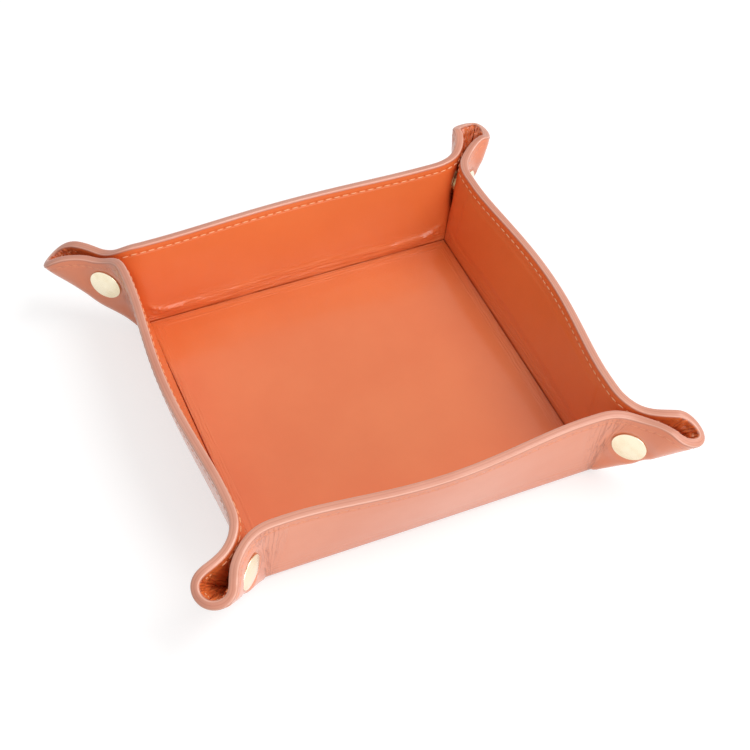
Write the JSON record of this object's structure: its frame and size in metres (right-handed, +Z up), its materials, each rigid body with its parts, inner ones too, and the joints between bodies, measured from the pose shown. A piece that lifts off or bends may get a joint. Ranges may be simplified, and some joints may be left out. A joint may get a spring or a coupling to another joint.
{
  "type": "valet tray",
  "caption": "Square leather valet tray with a stiff base and four leaning walls, its corners pinched into ears held shut by snap fasteners, folding out flat.",
  "frame": {"origin": "centre of the underside, on the surface that the tray stands on", "axes": "+Z up, out of the open top; the front wall faces -Y and the right wall faces +X; the walls are square to X and Y and the ears lie along the diagonals"},
  "size_m": [0.1858, 0.1858, 0.0371],
  "materials": {
    "outer_leather": "smooth semi-gloss dyed leather with a fine grain",
    "lining_leather": "smooth semi-gloss dyed leather with a fine grain",
    "stiffener_board": "plain pressed fibre board, hidden",
    "snap_metal": "pale gold plated, polished",
    "snap_works": "pale gold plated",
    "snap_spring": "bright spring wire"
  },
  "bodies": {
    "base": {"base_outer": "outer_leather", "base_board": "stiffener_board", "base_lining": "lining_leather"},
    "right_wall": {"right_wall_outer": "outer_leather", "right_wall_board": "stiffener_board", "right_wall_lining": "lining_leather"},
    "back_wall": {"back_wall_outer": "outer_leather", "back_wall_board": "stiffener_board", "back_wall_lining": "lining_leather"},
    "left_wall": {"left_wall_outer": "outer_leather", "left_wall_board": "stiffener_board", "left_wall_lining": "lining_leather"},
    "front_wall": {"front_wall_outer": "outer_leather", "front_wall_board": "stiffener_board", "front_wall_lining": "lining_leather"},
    "back_wall_right_ear": {"back_wall_right_ear_outer": "outer_leather", "back_wall_right_ear_lining": "lining_leather", "back_right_snap_socket_cap": "snap_metal", "back_right_snap_socket": "snap_works", "back_right_snap_spring": "snap_spring"},
    "back_wall_right_ear_tip": {"back_wall_right_ear_tip": "outer_leather"},
    "right_wall_back_ear": {"right_wall_back_ear_outer": "outer_leather", "right_wall_back_ear_lining": "lining_leather", "back_right_snap_stud_cap": "snap_metal", "back_right_snap_stud": "snap_works"},
    "right_wall_back_ear_tip": {"right_wall_back_ear_tip": "outer_leather"},
    "left_wall_back_ear": {"left_wall_back_ear_outer": "outer_leather", "left_wall_back_ear_lining": "lining_leather", "back_left_snap_socket_cap": "snap_metal", "back_left_snap_socket": "snap_works", "back_left_snap_spring": "snap_spring"},
    "left_wall_back_ear_tip": {"left_wall_back_ear_tip": "outer_leather"},
    "back_wall_left_ear": {"back_wall_left_ear_outer": "outer_leather", "back_wall_left_ear_lining": "lining_leather", "back_left_snap_stud_cap": "snap_metal", "back_left_snap_stud": "snap_works"},
    "back_wall_left_ear_tip": {"back_wall_left_ear_tip": "outer_leather"},
    "front_wall_left_ear": {"front_wall_left_ear_outer": "outer_leather", "front_wall_left_ear_lining": "lining_leather", "front_left_snap_socket_cap": "snap_metal", "front_left_snap_socket": "snap_works", "front_left_snap_spring": "snap_spring"},
    "front_wall_left_ear_tip": {"front_wall_left_ear_tip": "outer_leather"},
    "left_wall_front_ear": {"left_wall_front_ear_outer": "outer_leather", "left_wall_front_ear_lining": "lining_leather", "front_left_snap_stud_cap": "snap_metal", "front_left_snap_stud": "snap_works"},
    "left_wall_front_ear_tip": {"left_wall_front_ear_tip": "outer_leather"},
    "right_wall_front_ear": {"right_wall_front_ear_outer": "outer_leather", "right_wall_front_ear_lining": "lining_leather", "front_right_snap_socket_cap": "snap_metal", "front_right_snap_socket": "snap_works", "front_right_snap_spring": "snap_spring"},
    "right_wall_front_ear_tip": {"right_wall_front_ear_tip": "outer_leather"},
    "front_wall_right_ear": {"front_wall_right_ear_outer": "outer_leather", "front_wall_right_ear_lining": "lining_leather", "front_right_snap_stud_cap": "snap_metal", "front_right_snap_stud": "snap_works"},
    "front_wall_right_ear_tip": {"front_wall_right_ear_tip": "outer_leather"}
  },
  "joints": [
    {"name": "front_wall_fold", "type": "hinge", "parent": "base", "child": "front_wall", "pos_m": [0, -0.06346, 0.0018], "axis": [1, 0, 0], "range_deg": [0, 78]},
    {"name": "right_wall_fold", "type": "hinge", "parent": "base", "child": "right_wall", "pos_m": [0.06346, 0, 0.0018], "axis": [0, 1, 0], "range_deg": [0, 78]},
    {"name": "back_wall_fold", "type": "hinge", "parent": "base", "child": "back_wall", "pos_m": [0, 0.06346, 0.0018], "axis": [-1, 0, 0], "range_deg": [0, 78]},
    {"name": "left_wall_fold", "type": "hinge", "parent": "base", "child": "left_wall", "pos_m": [-0.06346, 0, 0.0018], "axis": [0, -1, 0], "range_deg": [0, 78]},
    {"name": "back_wall_right_ear_fold", "type": "hinge", "parent": "back_wall", "child": "back_wall_right_ear", "pos_m": [0.06346, 0.06346, 0.0018], "axis": [-0.068, -0.2466, -0.9667], "range_deg": [0, 48], "deforming": ["back_wall_right_ear_outer", "back_wall_right_ear_lining"]},
    {"name": "back_wall_right_ear_tip_fold", "type": "hinge", "parent": "back_wall_right_ear", "child": "back_wall_right_ear_tip", "pos_m": [0.06346, 0.06346, 0.0018], "axis": [0.4807, 0.5755, 0.6616], "range_deg": [0, 84]},
    {"name": "right_wall_back_ear_fold", "type": "hinge", "parent": "right_wall", "child": "right_wall_back_ear", "pos_m": [0.06346, 0.06346, 0.0018], "axis": [0.2466, 0.068, 0.9667], "range_deg": [0, 48], "deforming": ["right_wall_back_ear_outer", "right_wall_back_ear_lining"]},
    {"name": "right_wall_back_ear_tip_fold", "type": "hinge", "parent": "right_wall_back_ear", "child": "right_wall_back_ear_tip", "pos_m": [0.06346, 0.06346, 0.0018], "axis": [-0.5755, -0.4807, -0.6616], "range_deg": [0, 84]},
    {"name": "left_wall_back_ear_fold", "type": "hinge", "parent": "left_wall", "child": "left_wall_back_ear", "pos_m": [-0.06346, 0.06346, 0.0018], "axis": [0.2466, -0.068, -0.9667], "range_deg": [0, 48], "deforming": ["left_wall_back_ear_outer", "left_wall_back_ear_lining"]},
    {"name": "left_wall_back_ear_tip_fold", "type": "hinge", "parent": "left_wall_back_ear", "child": "left_wall_back_ear_tip", "pos_m": [-0.06346, 0.06346, 0.0018], "axis": [-0.5755, 0.4807, 0.6616], "range_deg": [0, 84]},
    {"name": "back_wall_left_ear_fold", "type": "hinge", "parent": "back_wall", "child": "back_wall_left_ear", "pos_m": [-0.06346, 0.06346, 0.0018], "axis": [-0.068, 0.2466, 0.9667], "range_deg": [0, 48], "deforming": ["back_wall_left_ear_outer", "back_wall_left_ear_lining"]},
    {"name": "back_wall_left_ear_tip_fold", "type": "hinge", "parent": "back_wall_left_ear", "child": "back_wall_left_ear_tip", "pos_m": [-0.06346, 0.06346, 0.0018], "axis": [0.4807, -0.5755, -0.6616], "range_deg": [0, 84]},
    {"name": "front_wall_left_ear_fold", "type": "hinge", "parent": "front_wall", "child": "front_wall_left_ear", "pos_m": [-0.06346, -0.06346, 0.0018], "axis": [0.068, 0.2466, -0.9667], "range_deg": [0, 48], "deforming": ["front_wall_left_ear_outer", "front_wall_left_ear_lining"]},
    {"name": "front_wall_left_ear_tip_fold", "type": "hinge", "parent": "front_wall_left_ear", "child": "front_wall_left_ear_tip", "pos_m": [-0.06346, -0.06346, 0.0018], "axis": [-0.4807, -0.5755, 0.6616], "range_deg": [0, 84]},
    {"name": "left_wall_front_ear_fold", "type": "hinge", "parent": "left_wall", "child": "left_wall_front_ear", "pos_m": [-0.06346, -0.06346, 0.0018], "axis": [-0.2466, -0.068, 0.9667], "range_deg": [0, 48], "deforming": ["left_wall_front_ear_outer", "left_wall_front_ear_lining"]},
    {"name": "left_wall_front_ear_tip_fold", "type": "hinge", "parent": "left_wall_front_ear", "child": "left_wall_front_ear_tip", "pos_m": [-0.06346, -0.06346, 0.0018], "axis": [0.5755, 0.4807, -0.6616], "range_deg": [0, 84]},
    {"name": "right_wall_front_ear_fold", "type": "hinge", "parent": "right_wall", "child": "right_wall_front_ear", "pos_m": [0.06346, -0.06346, 0.0018], "axis": [-0.2466, 0.068, -0.9667], "range_deg": [0, 48], "deforming": ["right_wall_front_ear_outer", "right_wall_front_ear_lining"]},
    {"name": "right_wall_front_ear_tip_fold", "type": "hinge", "parent": "right_wall_front_ear", "child": "right_wall_front_ear_tip", "pos_m": [0.06346, -0.06346, 0.0018], "axis": [0.5755, -0.4807, 0.6616], "range_deg": [0, 84]},
    {"name": "front_wall_right_ear_fold", "type": "hinge", "parent": "front_wall", "child": "front_wall_right_ear", "pos_m": [0.06346, -0.06346, 0.0018], "axis": [0.068, -0.2466, 0.9667], "range_deg": [0, 48], "deforming": ["front_wall_right_ear_outer", "front_wall_right_ear_lining"]},
    {"name": "front_wall_right_ear_tip_fold", "type": "hinge", "parent": "front_wall_right_ear", "child": "front_wall_right_ear_tip", "pos_m": [0.06346, -0.06346, 0.0018], "axis": [-0.4807, 0.5755, -0.6616], "range_deg": [0, 84]}
  ],
  "couplings": [
    {"joint": "right_wall_fold", "follows": "front_wall_fold", "ratio": 1},
    {"joint": "back_wall_fold", "follows": "front_wall_fold", "ratio": 1},
    {"joint": "left_wall_fold", "follows": "front_wall_fold", "ratio": 1},
    {"joint": "back_wall_right_ear_fold", "follows": "front_wall_fold", "ratio": 0.61538},
    {"joint": "back_wall_right_ear_tip_fold", "follows": "front_wall_fold", "ratio": 1.0769},
    {"joint": "right_wall_back_ear_fold", "follows": "front_wall_fold", "ratio": 0.61538},
    {"joint": "right_wall_back_ear_tip_fold", "follows": "front_wall_fold", "ratio": 1.0769},
    {"joint": "left_wall_back_ear_fold", "follows": "front_wall_fold", "ratio": 0.61538},
    {"joint": "left_wall_back_ear_tip_fold", "follows": "front_wall_fold", "ratio": 1.0769},
    {"joint": "back_wall_left_ear_fold", "follows": "front_wall_fold", "ratio": 0.61538},
    {"joint": "back_wall_left_ear_tip_fold", "follows": "front_wall_fold", "ratio": 1.0769},
    {"joint": "front_wall_left_ear_fold", "follows": "front_wall_fold", "ratio": 0.61538},
    {"joint": "front_wall_left_ear_tip_fold", "follows": "front_wall_fold", "ratio": 1.0769},
    {"joint": "left_wall_front_ear_fold", "follows": "front_wall_fold", "ratio": 0.61538},
    {"joint": "left_wall_front_ear_tip_fold", "follows": "front_wall_fold", "ratio": 1.0769},
    {"joint": "right_wall_front_ear_fold", "follows": "front_wall_fold", "ratio": 0.61538},
    {"joint": "right_wall_front_ear_tip_fold", "follows": "front_wall_fold", "ratio": 1.0769},
    {"joint": "front_wall_right_ear_fold", "follows": "front_wall_fold", "ratio": 0.61538},
    {"joint": "front_wall_right_ear_tip_fold", "follows": "front_wall_fold", "ratio": 1.0769}
  ]
}
